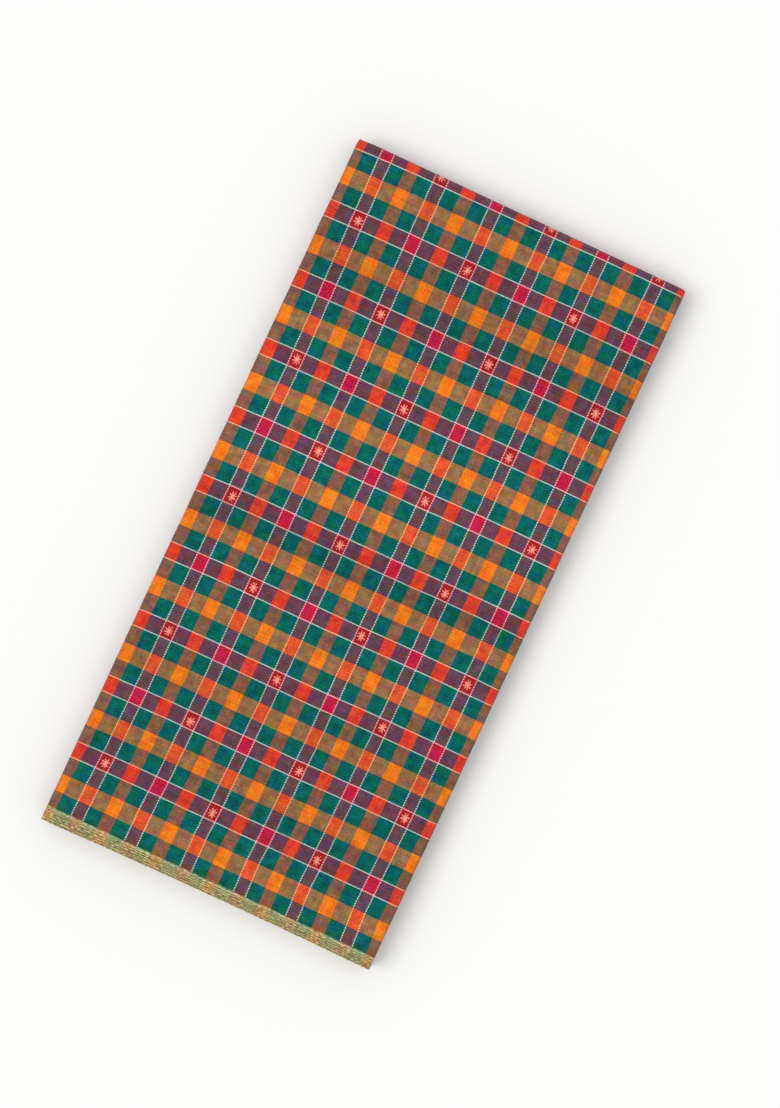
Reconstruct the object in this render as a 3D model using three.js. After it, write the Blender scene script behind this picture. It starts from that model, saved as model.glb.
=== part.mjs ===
// A saree folded flat: one length of checked cloth, doubled along its middle and then folded into
// panels, with both ends tucked inside. Each panel is two layers of cloth.
//
// Millimetres. +X runs along the cloth's length, across a panel. +Y points to the centre fold, so
// the selvedges with their woven border are at -Y. +Z is up, and the underside lies on Z = 0.
import * as THREE from 'three';

// Driving dimensions of the cloth
const CLOTH_WIDTH = 1150;           // selvedge to selvedge
const CLOTH_LENGTH = 5540;          // end to end
const PANELS = 20;                  // doubled panels in the stack
const PANEL_PITCH = 0.9;            // height that one doubled panel takes up
const BORDER_WIDTH = 12.5;          // woven band along each selvedge

// Driving dimensions of the solids
const WALL = 1.0;                   // one doubled panel as a wall
const GAP = 0.3;                    // clearance between neighbouring pieces
const FOLD_GAP = 0.45;              // the same round the hidden folds, whose facets lie otherwise
const FLAP = 9;                     // how far a fold returns under its panel, from the outer edge
const ROLL_LEFT = 2.6;              // outer height of the single fold at -X
const ROLL_RIGHT = 3.6;             // outer height of the fold at +X, which wraps two inner panels
const FOLD_CORNER = 2.3;            // plan radius of the corners at the centre fold
const SELVEDGE_CORNER = 0.9;        // plan radius of the corners at the selvedges
const SELVEDGE_BOW = 2.3;           // how far the selvedge edge draws in between its corners
const BOW_REACH = 16;               // how far up the panel that drawing in is felt

const HALF_X = CLOTH_LENGTH / PANELS / 2;
const HALF_Y = CLOTH_WIDTH / 4;
const HEIGHT = PANELS * PANEL_PITCH;

// Soft ridges and troughs across the top panel: middle, half width and rise in mm, and how far the
// ridge line turns towards +Y over the panel's full width
const SWELLS = [
  { y: 236, reach: 34, rise: 0.35, turn: 14 },
  { y: 176, reach: 40, rise: -0.45, turn: -10 },
  { y: 84, reach: 62, rise: 0.50, turn: 18 },
  { y: -12, reach: 34, rise: -0.50, turn: 8 },
  { y: -86, reach: 46, rise: 0.30, turn: -16 },
  { y: -142, reach: 36, rise: -0.35, turn: 10 },
  { y: -226, reach: 48, rise: 0.30, turn: 22 },
];

// How far each hidden fold lies in from the top panel's outline, from the top down, in mm: at the
// two sides, at the centre fold and at the selvedges
const HIDDEN_FOLDS = [
  { left: 0.9, right: 1.4, centre: 1.2, selvedge: 1.4 },
  { left: 1.7, right: 0.6, centre: 0.5, selvedge: 2.3 },
  { left: 0.5, right: 1.8, centre: 1.9, selvedge: 0.8 },
  { left: 1.3, right: 1.0, centre: 0.9, selvedge: 1.9 },
  { left: 2.1, right: 0.5, centre: 1.5, selvedge: 1.1 },
  { left: 0.8, right: 1.6, centre: 0.6, selvedge: 2.6 },
];
const NIP_DEPTH = 0.8;              // how far the cloth draws in between two folds
const SHOULDER = 0.25;              // share of a fold's height that its rounding takes, top and bottom

// Where the meshes have their lines
const STEPS_X = 10;                 // across the top panel
const STEPS_Y = 20;                 // along the top panel
const UNDER_STEPS_X = 3;            // across the flat panel on the underside
const UNDER_STEPS_Y = 8;            // along it
const TURN_STEPS = 6;               // round the half circle of a fold
const NOSE_STEPS = 3;               // round the quarter circle of the centre fold

// ---- Shape of the settled cloth ----

function bell(distance) {
  return Math.abs(distance) < 1 ? (1 + Math.cos(Math.PI * distance)) / 2 : 0;
}

/** Rise of the top surface over the flat stack. */
function swell(x, y) {
  let rise = 0;
  for (const row of SWELLS) {
    const ridge = row.y + row.turn * x / (2 * HALF_X);
    rise += row.rise * bell((y - ridge) / row.reach);
  }
  return rise;
}

/** A point of the flat stack, moved to where the cloth settles. */
function settle(x, y, z) {
  const across = 1 - ((x - HALF_X / 3) / (HALF_X * 4 / 3)) ** 2;
  const near = Math.max(0, 1 - (y + HALF_Y) / BOW_REACH);
  return [x, y + SELVEDGE_BOW * across * near * near, z + swell(x, y) * z / HEIGHT];
}

/** How far a rounded corner draws a side in, at a distance from the end. */
function cornerInset(distance, radius) {
  if (distance >= radius) return 0;
  return radius - Math.sqrt(radius ** 2 - (radius - distance) ** 2);
}

function halfWidthAt(y) {
  const atFold = cornerInset(HALF_Y - y, FOLD_CORNER);
  const atSelvedge = cornerInset(y + HALF_Y, SELVEDGE_CORNER);
  return HALF_X - atFold - atSelvedge;
}

// ---- A stretch: a wall that turns under at both sides ----

/** Centre line of the wall from the left flap to the right one, as {x, z}. */
function stretchLine(halfWidth, stepsAcross) {
  const line = [];
  const middle = HEIGHT - WALL / 2;
  const turn = (side, radius) => {
    const centreX = side * (halfWidth - WALL / 2 - radius);
    const points = [];
    for (let i = 0; i <= TURN_STEPS; i += 1) {
      const angle = Math.PI * i / TURN_STEPS;
      points.push({
        x: centreX + side * radius * Math.sin(angle),
        z: middle - radius + radius * Math.cos(angle),
      });
    }
    points.push({ x: side * (halfWidth - FLAP), z: middle - 2 * radius });
    return points;
  };
  const left = turn(-1, (ROLL_LEFT - WALL) / 2);
  const right = turn(1, (ROLL_RIGHT - WALL) / 2);
  line.push(...left.reverse());
  const from = line[line.length - 1].x;
  for (let i = 1; i < stepsAcross; i += 1) {
    line.push({ x: from + (right[0].x - from) * i / stepsAcross, z: middle });
  }
  line.push(...right);
  return line;
}

/** The two sides of the wall at one station along Y, as pairs of settled points. */
function stretchSection(y, half, stepsAcross, mirrored) {
  const line = stretchLine(halfWidthAt(y), stepsAcross);
  return line.map((point, i) => {
    const before = line[Math.max(i - 1, 0)];
    const after = line[Math.min(i + 1, line.length - 1)];
    const length = Math.hypot(after.x - before.x, after.z - before.z);
    const normal = { x: -(after.z - before.z) / length, z: (after.x - before.x) / length };
    return [half, -half].map((offset) => {
      const z = point.z + normal.z * offset;
      return settle(point.x + normal.x * offset, y, mirrored ? HEIGHT - z : z);
    });
  });
}

/** Stations up the checked field, as {y, half}: half the wall, which rounds off at the centre fold. */
function fieldStations(steps) {
  const from = -HALF_Y + BORDER_WIDTH + GAP / 2;
  const last = HALF_Y - FOLD_CORNER;
  const stations = [];
  for (let i = 0; i <= steps; i += 1) {
    stations.push({ y: from + (last - from) * i / steps, half: WALL / 2 });
  }
  stations.push({ y: HALF_Y - FOLD_CORNER / 2, half: WALL / 2 });
  for (let i = 0; i <= NOSE_STEPS; i += 1) {
    const angle = (Math.PI / 2) * i / (NOSE_STEPS + 0.5);
    const y = HALF_Y - (WALL / 2) * (1 - Math.sin(angle));
    stations.push({ y, half: (WALL / 2) * Math.cos(angle) });
  }
  return stations;
}

/** Stations up the border band, from the selvedge to its seam line with the field. */
function borderStations() {
  const stops = [0, SELVEDGE_CORNER * 0.3, SELVEDGE_CORNER, BORDER_WIDTH - GAP / 2];
  return stops.map((stop) => ({ y: -HALF_Y + stop, half: WALL / 2 }));
}

function stretchGeometry(stations, stepsAcross, mirrored) {
  const sections = stations.map(({ y, half }) => stretchSection(y, half, stepsAcross, mirrored));
  const pairs = sections[0].length;
  const vertices = sections.flatMap((section) => section.flat());
  const at = (s, i, side) => (s * pairs + i) * 2 + side;
  const quads = [];
  const end = sections.length - 1;
  for (let i = 0; i < pairs - 1; i += 1) {
    for (let s = 0; s < end; s += 1) {
      quads.push([at(s, i, 0), at(s, i + 1, 0), at(s + 1, i + 1, 0), at(s + 1, i, 0)]);
      quads.push([at(s, i, 1), at(s + 1, i, 1), at(s + 1, i + 1, 1), at(s, i + 1, 1)]);
    }
    quads.push([at(0, i, 1), at(0, i + 1, 1), at(0, i + 1, 0), at(0, i, 0)]);
    quads.push([at(end, i, 0), at(end, i + 1, 0), at(end, i + 1, 1), at(end, i, 1)]);
  }
  for (let s = 0; s < end; s += 1) {
    quads.push([at(s, 0, 0), at(s + 1, 0, 0), at(s + 1, 0, 1), at(s, 0, 1)]);
    quads.push([at(s, pairs - 1, 1), at(s + 1, pairs - 1, 1), at(s + 1, pairs - 1, 0),
      at(s, pairs - 1, 0)]);
  }
  return quadGeometry(vertices, quads, mirrored);
}

function quadGeometry(vertices, quads, flipped) {
  const index = [];
  for (const quad of quads) {
    const [a, b, c, d] = flipped ? [...quad].reverse() : quad;
    index.push(a, b, c, a, c, d);
  }
  const geometry = new THREE.BufferGeometry();
  geometry.setAttribute('position', new THREE.Float32BufferAttribute(vertices.flat(), 3));
  geometry.setIndex(index);
  geometry.computeVertexNormals();
  return geometry;
}

// ---- The hidden folds: rings down the stack, each drawn in by its own fold ----

/** Rings from the top down: height and the inset at each of the four sides. */
function hiddenRings() {
  const top = HEIGHT - WALL - FOLD_GAP;
  const tucked = FLAP + WALL / 2 + FOLD_GAP;
  const tongue = WALL + 2 * FOLD_GAP;
  const upper = [];
  const lip = { centre: WALL / 2 + FOLD_GAP, selvedge: WALL / 2 + FOLD_GAP };
  const underTongue = HEIGHT - ROLL_RIGHT + WALL + FOLD_GAP;
  const underLeft = HEIGHT - ROLL_LEFT - FOLD_GAP;
  const underRight = HEIGHT - ROLL_RIGHT - FOLD_GAP;
  const first = HIDDEN_FOLDS[0];
  const final = HIDDEN_FOLDS[HIDDEN_FOLDS.length - 1];
  upper.push({ z: top, left: tucked, right: tongue, ...lip });
  upper.push({ z: underTongue, left: tucked, right: tongue, ...lip });
  upper.push({ z: underTongue, left: tucked, right: tucked, ...lip });
  upper.push({ z: underLeft, left: tucked, right: tucked, ...lip });
  const lower = upper.map((ring) => ({ ...ring, z: HEIGHT - ring.z })).reverse();
  upper.push({ z: underLeft, ...first, right: tucked });
  upper.push({ z: underRight, ...first, right: tucked });
  lower.unshift({ z: HEIGHT - underLeft, ...final, right: tucked });
  lower.unshift({ z: HEIGHT - underRight, ...final, right: tucked });

  const folds = [];
  const span = underRight - (HEIGHT - underRight);
  const pitch = span / HIDDEN_FOLDS.length;
  HIDDEN_FOLDS.forEach((fold, i) => {
    const z = underRight - i * pitch;
    const nipped = { left: fold.left + NIP_DEPTH, right: fold.right + NIP_DEPTH,
      centre: fold.centre + NIP_DEPTH, selvedge: fold.selvedge + NIP_DEPTH };
    folds.push({ z, ...nipped });
    folds.push({ z: z - pitch * SHOULDER, ...fold });
    folds.push({ z: z - pitch * (1 - SHOULDER), ...fold });
  });
  return [...upper, ...folds, ...lower];
}

function hiddenGeometry(rings) {
  const fractions = (steps, margin) => {
    const list = [0, margin];
    for (let i = 1; i < steps; i += 1) list.push(margin + (1 - 2 * margin) * i / steps);
    return [...list, 1 - margin, 1];
  };
  const across = fractions(STEPS_X, FOLD_CORNER / (2 * HALF_X));
  const along = fractions(STEPS_Y, FOLD_CORNER / (2 * HALF_Y));
  const columns = across.length;
  const rows = along.length;
  const cornerCut = FOLD_CORNER * (1 - Math.SQRT1_2);

  const place = (ring, i, j) => {
    const low = { x: -HALF_X + ring.left, y: -HALF_Y + ring.selvedge };
    const high = { x: HALF_X - ring.right, y: HALF_Y - ring.centre };
    const isCorner = (i === 0 || i === columns - 1) && (j === 0 || j === rows - 1);
    const cut = isCorner ? cornerCut : 0;
    const x = low.x + (high.x - low.x) * across[i] + (i === 0 ? cut : -cut);
    const y = low.y + (high.y - low.y) * along[j] + (j === 0 ? cut : -cut);
    return settle(x, y, ring.z);
  };
  const border = [];
  for (let i = 0; i < columns - 1; i += 1) border.push([i, 0]);
  for (let j = 0; j < rows - 1; j += 1) border.push([columns - 1, j]);
  for (let i = columns - 1; i > 0; i -= 1) border.push([i, rows - 1]);
  for (let j = rows - 1; j > 0; j -= 1) border.push([0, j]);

  const vertices = [];
  const quads = [];
  const addCap = (ring) => {
    const start = vertices.length;
    for (let j = 0; j < rows; j += 1) {
      for (let i = 0; i < columns; i += 1) vertices.push(place(ring, i, j));
    }
    return (i, j) => start + j * columns + i;
  };
  const capTop = addCap(rings[0]);
  const capBottom = addCap(rings[rings.length - 1]);
  for (let j = 0; j < rows - 1; j += 1) {
    for (let i = 0; i < columns - 1; i += 1) {
      quads.push([capTop(i, j), capTop(i + 1, j), capTop(i + 1, j + 1), capTop(i, j + 1)]);
      quads.push([capBottom(i, j), capBottom(i, j + 1), capBottom(i + 1, j + 1), capBottom(i + 1, j)]);
    }
  }
  const loops = rings.map((ring, r) => {
    if (r === 0) return border.map(([i, j]) => capTop(i, j));
    if (r === rings.length - 1) return border.map(([i, j]) => capBottom(i, j));
    return border.map(([i, j]) => vertices.push(place(ring, i, j)) - 1);
  });
  for (let r = 0; r < loops.length - 1; r += 1) {
    for (let k = 0; k < border.length; k += 1) {
      const next = (k + 1) % border.length;
      quads.push([loops[r][k], loops[r + 1][k], loops[r + 1][next], loops[r][next]]);
    }
  }
  return quadGeometry(vertices, quads, false);
}

// ---- Materials and the scene ----

const checkedCloth = new THREE.MeshStandardMaterial({ color: 0x9a5a48, roughness: 0.85, metalness: 0 });
const zariBorder = new THREE.MeshStandardMaterial({ color: 0xa79766, roughness: 0.5, metalness: 0.3 });

const saree = new THREE.Group();

function addPiece(name, geometry, material) {
  const mesh = new THREE.Mesh(geometry, material);
  mesh.name = name;
  saree.add(mesh);
}

const underField = fieldStations(UNDER_STEPS_Y);

addPiece('top_stretch', stretchGeometry(fieldStations(STEPS_Y), STEPS_X, false), checkedCloth);
addPiece('top_border', stretchGeometry(borderStations(), STEPS_X, false), zariBorder);
addPiece('hidden_folds', hiddenGeometry(hiddenRings()), checkedCloth);
addPiece('under_stretch', stretchGeometry(underField, UNDER_STEPS_X, true), checkedCloth);
addPiece('under_border', stretchGeometry(borderStations(), UNDER_STEPS_X, true), zariBorder);

export default saree;
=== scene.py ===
import math

import bpy
import numpy as np
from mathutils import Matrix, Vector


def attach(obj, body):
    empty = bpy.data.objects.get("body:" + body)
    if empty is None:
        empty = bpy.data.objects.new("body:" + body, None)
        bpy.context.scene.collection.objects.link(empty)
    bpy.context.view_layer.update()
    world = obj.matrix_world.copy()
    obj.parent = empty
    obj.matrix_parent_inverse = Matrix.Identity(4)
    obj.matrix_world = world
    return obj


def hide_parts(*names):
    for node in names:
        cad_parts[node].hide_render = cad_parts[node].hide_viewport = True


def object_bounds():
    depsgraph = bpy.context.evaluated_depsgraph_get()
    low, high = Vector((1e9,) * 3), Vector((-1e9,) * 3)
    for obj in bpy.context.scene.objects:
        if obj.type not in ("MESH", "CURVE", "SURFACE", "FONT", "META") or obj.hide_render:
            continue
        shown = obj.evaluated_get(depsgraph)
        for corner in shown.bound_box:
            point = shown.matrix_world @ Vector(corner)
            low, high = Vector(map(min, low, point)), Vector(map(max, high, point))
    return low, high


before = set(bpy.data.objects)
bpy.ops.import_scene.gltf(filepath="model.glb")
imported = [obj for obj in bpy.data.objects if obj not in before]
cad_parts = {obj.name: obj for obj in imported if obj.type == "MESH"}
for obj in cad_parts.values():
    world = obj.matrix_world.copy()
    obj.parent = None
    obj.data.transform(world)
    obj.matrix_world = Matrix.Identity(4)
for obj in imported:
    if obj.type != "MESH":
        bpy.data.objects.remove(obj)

cad_low, cad_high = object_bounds()


# ---- Camera ----
# It looks straight down from two metres through a portrait lens, and is turned so that the folded
# saree lies aslant in a tall frame.
MM = 0.001                          # metres in a millimetre
FLAT_HEIGHT = 18 * MM               # height of the folded stack
FRAME_LONG_SIDE = 846.9 * MM        # what the frame's long side takes in at that height
LENS_MM = 85.0
SENSOR_MM = 36.0
TURN = math.radians(25.05)
ASIDE = 20.14 * MM                  # the saree's middle lies this far left of the frame's middle
BELOW = 0.8 * MM                    # and this far below it

camera_data = bpy.data.cameras.new("camera")
camera_data.lens = LENS_MM
camera_data.sensor_width = SENSOR_MM
camera = bpy.data.objects.new("camera", camera_data)
camera.location = (
    ASIDE * math.cos(TURN) - BELOW * math.sin(TURN),
    ASIDE * math.sin(TURN) + BELOW * math.cos(TURN),
    FLAT_HEIGHT + FRAME_LONG_SIDE * LENS_MM / SENSOR_MM,
)
camera.rotation_euler = (0.0, 0.0, TURN)
bpy.context.scene.collection.objects.link(camera)
bpy.context.scene.camera = camera


# ---- The stretch of cloth on top, and its border ----
# The saree is one length of handloom cotton, doubled along its middle and then folded from side
# to side into twenty panels. The top panel turns under at both of its sides. A band with gold
# thread is woven in along the selvedges, which lie together at the near end.
HALF_LENGTH = cad_high.x            # half a panel's size along the cloth
HALF_WIDTH = -cad_low.y             # half a panel's size across the cloth
PANELS = 20
PITCH = FLAT_HEIGHT / PANELS        # height of one doubled panel
CLOTH = 0.28 * MM                   # thickness of the cloth
LEAF = PITCH / 4                    # a panel's two leaves lie this far above and below its middle
OUTER = LEAF + CLOTH / 2            # half the thickness of a doubled panel
SELVEDGE = 2 * HALF_WIDTH           # from the centre fold to the selvedges
BORDER_LINE = SELVEDGE - 12.0 * MM  # from the centre fold to the gold band
FLAP = 9 * MM                       # how far the cloth that shows goes on under its panel
TUCK = 12 * MM                      # how far in from the side the cloth's own ends lie

# Panels are numbered from the top down. The cloth runs through them in this order, so that both
# of its ends are tucked into a wider fold, at the top and at the bottom.
RUN_ORDER = [3, 2, 1, *range(4, PANELS - 2), PANELS, PANELS - 1, PANELS - 2]
SHOWN = (1, PANELS)
CUTS = {2: -1, 4: 1, PANELS - 3: 1, PANELS - 1: -1}    # panel and side where what shows ends
STEPS_SHOWN = 60                    # along the cloth, across a panel that shows
STEPS_HIDDEN = 14                   # across one that doesn't
STEPS_ROUND = 8                     # round a fold
HIDDEN_WAVER = 1.0                  # share of the wander that a hidden panel's edges have
SHOWN_WAVER = 0.2                   # the folds that show lie straighter than the hidden ones

# No two hidden folds end level: they lie in from the outline by amounts between these, in mm
SET_BACK = {"side": (0.5, 2.0), "centre": (0.3, 1.9), "selvedge": (0.5, 2.6)}
SHOWN_BACK = 0.45                   # what shows is drawn in at the sides by this much, mm
FOLD_SEED = 12
folder = np.random.default_rng(FOLD_SEED)

panels = {}
for number in RUN_ORDER:
    hidden = number not in SHOWN
    panels[number] = {
        "panel": float(number),
        "z": (PANELS - number + 0.5) * PITCH,
        "centre": folder.uniform(*SET_BACK["centre"]) * MM * hidden,
        "selvedge": folder.uniform(*SET_BACK["selvedge"]) * MM * hidden,
        "waver": HIDDEN_WAVER if hidden else SHOWN_WAVER,
    }


def fold_line():
    """The cloth's path through the stack from one end to the other, and where to cut it."""
    rows, cuts = [], []
    x = -HALF_LENGTH + TUCK
    for i, number in enumerate(RUN_ORDER):
        side = 1 if i % 2 == 0 else -1
        here = panels[number]
        after = panels.get(RUN_ORDER[i + 1]) if i + 1 < len(RUN_ORDER) else None
        turn_x = side * (HALF_LENGTH - TUCK)
        if after:
            radius = abs(here["z"] - after["z"]) / 2
            shows = {here["panel"], after["panel"]} & set(SHOWN)
            inset = (SHOWN_BACK if shows else folder.uniform(*SET_BACK["side"])) * MM
            turn_x = side * (HALF_LENGTH - inset - radius - OUTER)
        flap_x = HALF_LENGTH - FLAP
        steps = STEPS_SHOWN if number in SHOWN else STEPS_HIDDEN
        between = np.linspace(-side * flap_x, side * flap_x, steps + 1)
        stops = [x, *(stop for stop in between if side * x < side * stop < side * turn_x), turn_x]
        for stop in stops:
            if number in CUTS and stop == CUTS[number] * flap_x:
                cuts.append(len(rows))
            rows.append({**here, "x": stop, "turned": float(stop in (stops[0], stops[-1]))})
        x = turn_x
        if not after:
            break
        for step in range(1, STEPS_ROUND):
            share = step / STEPS_ROUND
            angle = math.pi * share
            row = {key: here[key] * (1 - share) + after[key] * share for key in here}
            row["x"] = turn_x + side * radius * math.sin(angle)
            row["z"] = (here["z"] + after["z"]) / 2 + (here["z"] - after["z"]) / 2 * math.cos(angle)
            row["turned"] = 1.0
            rows.append(row)
    along = 0.0
    for before, row in zip([rows[0], *rows], rows):
        along += math.dist((before["x"], before["z"]), (row["x"], row["z"]))
        row["along"] = along
    start = next(row for row in rows if row["panel"] == 1)
    shift = start["along"] - (start["x"] + HALF_LENGTH)
    for row in rows:
        row["along"] -= shift
    return rows, cuts


path, cuts = fold_line()
ends = [0, *cuts, len(path) - 1]
stretches = [path[start:end + 1] for start, end in zip(ends, ends[1:])]


ACROSS_SHOWN = 120                  # steps from the centre fold to the border, where they show
ACROSS_HIDDEN = 24                  # and where they don't
BAND_STEPS = 5                      # across the band
band_stops = np.linspace(BORDER_LINE, SELVEDGE, BAND_STEPS + 1)[1:]


def leaf_rows(leaf, stops):
    """One leaf of the doubled cloth in section, at these distances from the centre fold."""
    return [{"x": HALF_WIDTH - stop, "y": leaf * LEAF, "across": leaf * stop} for stop in stops]


def doubled_section(last, steps):
    """Both leaves in section, joined round the centre fold."""
    stops = np.linspace(OUTER, min(last, BORDER_LINE), steps + 1)
    if last > BORDER_LINE:
        stops = [*stops, *band_stops]
    fold = []
    for step in range(1, STEPS_ROUND):
        angle = math.pi * step / STEPS_ROUND
        fold.append({
            "x": HALF_WIDTH - OUTER + LEAF * math.sin(angle),
            "y": LEAF * math.cos(angle),
            "across": OUTER * math.cos(angle),
        })
    return [leaf_rows(1, stops[::-1]) + fold + leaf_rows(-1, stops)]


field_section = doubled_section(BORDER_LINE, ACROSS_SHOWN)
band_section = [leaf_rows(leaf, [BORDER_LINE, *band_stops]) for leaf in (1, -1)]
hidden_section = doubled_section(SELVEDGE, ACROSS_HIDDEN)


def line_object(name, lines):
    """Lines of rows as an object of edges. What a row says beyond its place becomes an attribute."""
    rows = [row for line in lines for row in line]
    edges = []
    start = 0
    for line in lines:
        edges += [(start + i, start + i + 1) for i in range(len(line) - 1)]
        start += len(line)
    mesh = bpy.data.meshes.new(name)
    mesh.from_pydata([(row["x"], row.get("y", 0.0), row.get("z", 0.0)) for row in rows], edges, [])
    for key in sorted(set(rows[0]) - {"x", "y", "z"}):
        values = mesh.attributes.new(key, "FLOAT", "POINT")
        values.data.foreach_set("value", [row[key] for row in rows])
    made = bpy.data.objects.new(name, mesh)
    bpy.context.scene.collection.objects.link(made)
    return made


def add(tree, kind, inputs=None, output=0, **settings):
    """Adds a node with its settings, values and links, and returns one of its outputs."""
    node = tree.nodes.new(kind)
    for name, value in settings.items():
        setattr(node, name, value)
    sockets = {**dict(enumerate(node.inputs)), **{s.identifier: s for s in node.inputs}}
    for key, value in (inputs or {}).items():
        if isinstance(value, bpy.types.NodeSocket):
            tree.links.new(value, sockets[key])
        else:
            sockets[key].default_value = value
    outputs = {**dict(enumerate(node.outputs)), **{s.identifier: s for s in node.outputs}}
    return outputs[output]


WAVER = 0.5 * MM                    # the hidden edges wander in and out by this much
WAVER_LENGTH = 60 * MM              # over about this length
WAVER_LOW, WAVER_HIGH = 0.2, 0.8    # most of the noise that moves them lies between these
WAVER_APART = (1.0, 5.3, 3.7)       # steps in it, so that no two leaves or panels wander alike


def sweep_tree():
    """Geometry nodes that sweep the doubled cloth's section along its fold line."""
    tree = bpy.data.node_groups.new("sweep_cloth", "GeometryNodeTree")
    for name, kind in (
        ("Geometry", "Geometry"),
        ("Section", "Object"),
        ("Half Width", "Float"),
        ("Waver", "Float"),
        ("Waver Length", "Float"),
        ("Border Line", "Float"),
        ("Cloth", "Material"),
        ("Border", "Material"),
    ):
        tree.interface.new_socket(name, in_out="INPUT", socket_type="NodeSocket" + kind)
    tree.interface.new_socket("Geometry", in_out="OUTPUT", socket_type="NodeSocketGeometry")
    given = {socket.name: socket for socket in tree.nodes.new("NodeGroupInput").outputs}

    row = {name: add(tree, "GeometryNodeInputNamedAttribute", {"Name": name}, data_type="FLOAT")
           for name in ("panel", "across", "turned", "waver", "selvedge", "centre")}

    # The line lies in the XZ plane, so with its normal along Y the section never twists
    line = add(tree, "GeometryNodeMeshToCurve", {"Mesh": given["Geometry"]})
    line = add(tree, "GeometryNodeSetCurveNormal", {"Curve": line, "Normal": (0, 1, 0)}, mode="FREE")
    section = add(tree, "GeometryNodeObjectInfo", {"Object": given["Section"]}, "Geometry")
    section = add(tree, "GeometryNodeMeshToCurve", {"Mesh": section})
    swept = add(tree, "GeometryNodeCurveToMesh", {"Curve": line, "Profile Curve": section})

    place = add(tree, "GeometryNodeInputPosition")
    x = add(tree, "ShaderNodeSeparateXYZ", {"Vector": place})
    y = x.node.outputs["Y"]
    leaf = add(tree, "ShaderNodeMath", {0: row["across"]}, operation="SIGN")
    amount = add(tree, "ShaderNodeMath", {0: given["Waver"], 1: row["waver"]}, operation="MULTIPLY")

    def waver(position, leaf):
        """A slow wander from -1 to 1 along an edge, its own for each panel and leaf."""
        turns = add(tree, "ShaderNodeMath", {0: position, 1: given["Waver Length"]}, operation="DIVIDE")
        spot = add(tree, "ShaderNodeCombineXYZ", {"X": turns, "Y": leaf, "Z": row["panel"]})
        spot = add(tree, "ShaderNodeVectorMath", {0: spot, 1: WAVER_APART}, operation="MULTIPLY")
        noise = add(tree, "ShaderNodeTexNoise", {"Vector": spot, "Scale": 1.0, "Detail": 1.0})
        return add(tree, "ShaderNodeMapRange", {"Value": noise, "From Min": WAVER_LOW,
                                                "From Max": WAVER_HIGH, "To Min": -1.0, "To Max": 1.0})

    # Each edge is drawn in by its panel's set-back, and wanders a little
    towards_fold = add(tree, "ShaderNodeMath", {0: y, 1: given["Half Width"]}, operation="DIVIDE")
    towards_fold = add(tree, "ShaderNodeMapRange", {"Value": towards_fold, "From Min": -1.0})
    at_fold = add(tree, "ShaderNodeMath", {0: row["centre"], 1: -1.0}, operation="MULTIPLY")
    back = add(tree, "ShaderNodeMix", {"Factor_Float": towards_fold, "A_Float": row["selvedge"],
                                       "B_Float": at_fold})
    back = add(tree, "ShaderNodeMath", {0: waver(x, leaf), 1: amount, 2: back}, operation="MULTIPLY_ADD")
    sideways = add(tree, "ShaderNodeMath", {0: row["turned"], 1: amount}, operation="MULTIPLY")
    sideways = add(tree, "ShaderNodeMath", {0: waver(y, 0.0), 1: sideways}, operation="MULTIPLY")
    offset = add(tree, "ShaderNodeCombineXYZ", {"X": sideways, "Y": back})
    swept = add(tree, "GeometryNodeSetPosition", {"Geometry": swept, "Offset": offset})
    swept = add(tree, "GeometryNodeSetShadeSmooth", {"Geometry": swept})

    distance = add(tree, "ShaderNodeMath", {0: row["across"]}, operation="ABSOLUTE")
    in_band = add(tree, "FunctionNodeCompare", {"A": distance, "B": given["Border Line"]},
                  operation="GREATER_THAN", data_type="FLOAT")
    swept = add(tree, "GeometryNodeRealizeInstances", {"Geometry": swept})
    swept = add(tree, "GeometryNodeSetMaterial", {"Geometry": swept, "Material": given["Cloth"]})
    swept = add(tree, "GeometryNodeSetMaterial", {"Geometry": swept, "Selection": in_band,
                                                  "Material": given["Border"]})
    tree.links.new(swept, tree.nodes.new("NodeGroupOutput").inputs["Geometry"])
    return tree


# The stack has settled into soft ridges and troughs across it: their middle and half width up the
# panel, their rise, and how far the ridge line leans up over the panel's full width, in mm
SWELLS = [
    {"up": 236, "reach": 34, "rise": 0.35, "lean": 14},
    {"up": 176, "reach": 40, "rise": -0.45, "lean": -10},
    {"up": 84, "reach": 62, "rise": 0.50, "lean": 18},
    {"up": -12, "reach": 34, "rise": -0.50, "lean": 8},
    {"up": -86, "reach": 46, "rise": 0.30, "lean": -16},
    {"up": -142, "reach": 36, "rise": -0.35, "lean": 10},
    {"up": -226, "reach": 48, "rise": 0.30, "lean": 22},
]
BOW = 2.3 * MM                      # the selvedges draw in between their corners by this much
BOW_REACH = 16 * MM                 # and that is felt this far up the panel
BOW_MIDDLE = HALF_LENGTH / 3        # they do so most this far right of the middle
FOLD_CORNER = 2.3 * MM              # plan radius of the corners at the centre fold
CORNER_REACH = 14 * MM              # how far in from the side that rounding is felt
RIPPLES = [{"length": 31, "rise": 0.10}, {"length": 53, "rise": 0.12}]     # along the band, in mm
RIPPLE_REACH = 26 * MM              # they are felt this far up the panel
SIDE_ROLL = 0.7 * MM                # the stack rounds down at its sides by this much
SIDE_REACH = 3.2 * MM               # over this much of its width
DRAWN_DOWN = 2.8 * MM               # the top panel's centre fold is drawn in at its left corner
DRAWN_REACH = 15 * MM               # over this much of the fold
DRAWN_DEPTH = 6 * MM                # and is felt this far down the panel


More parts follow.
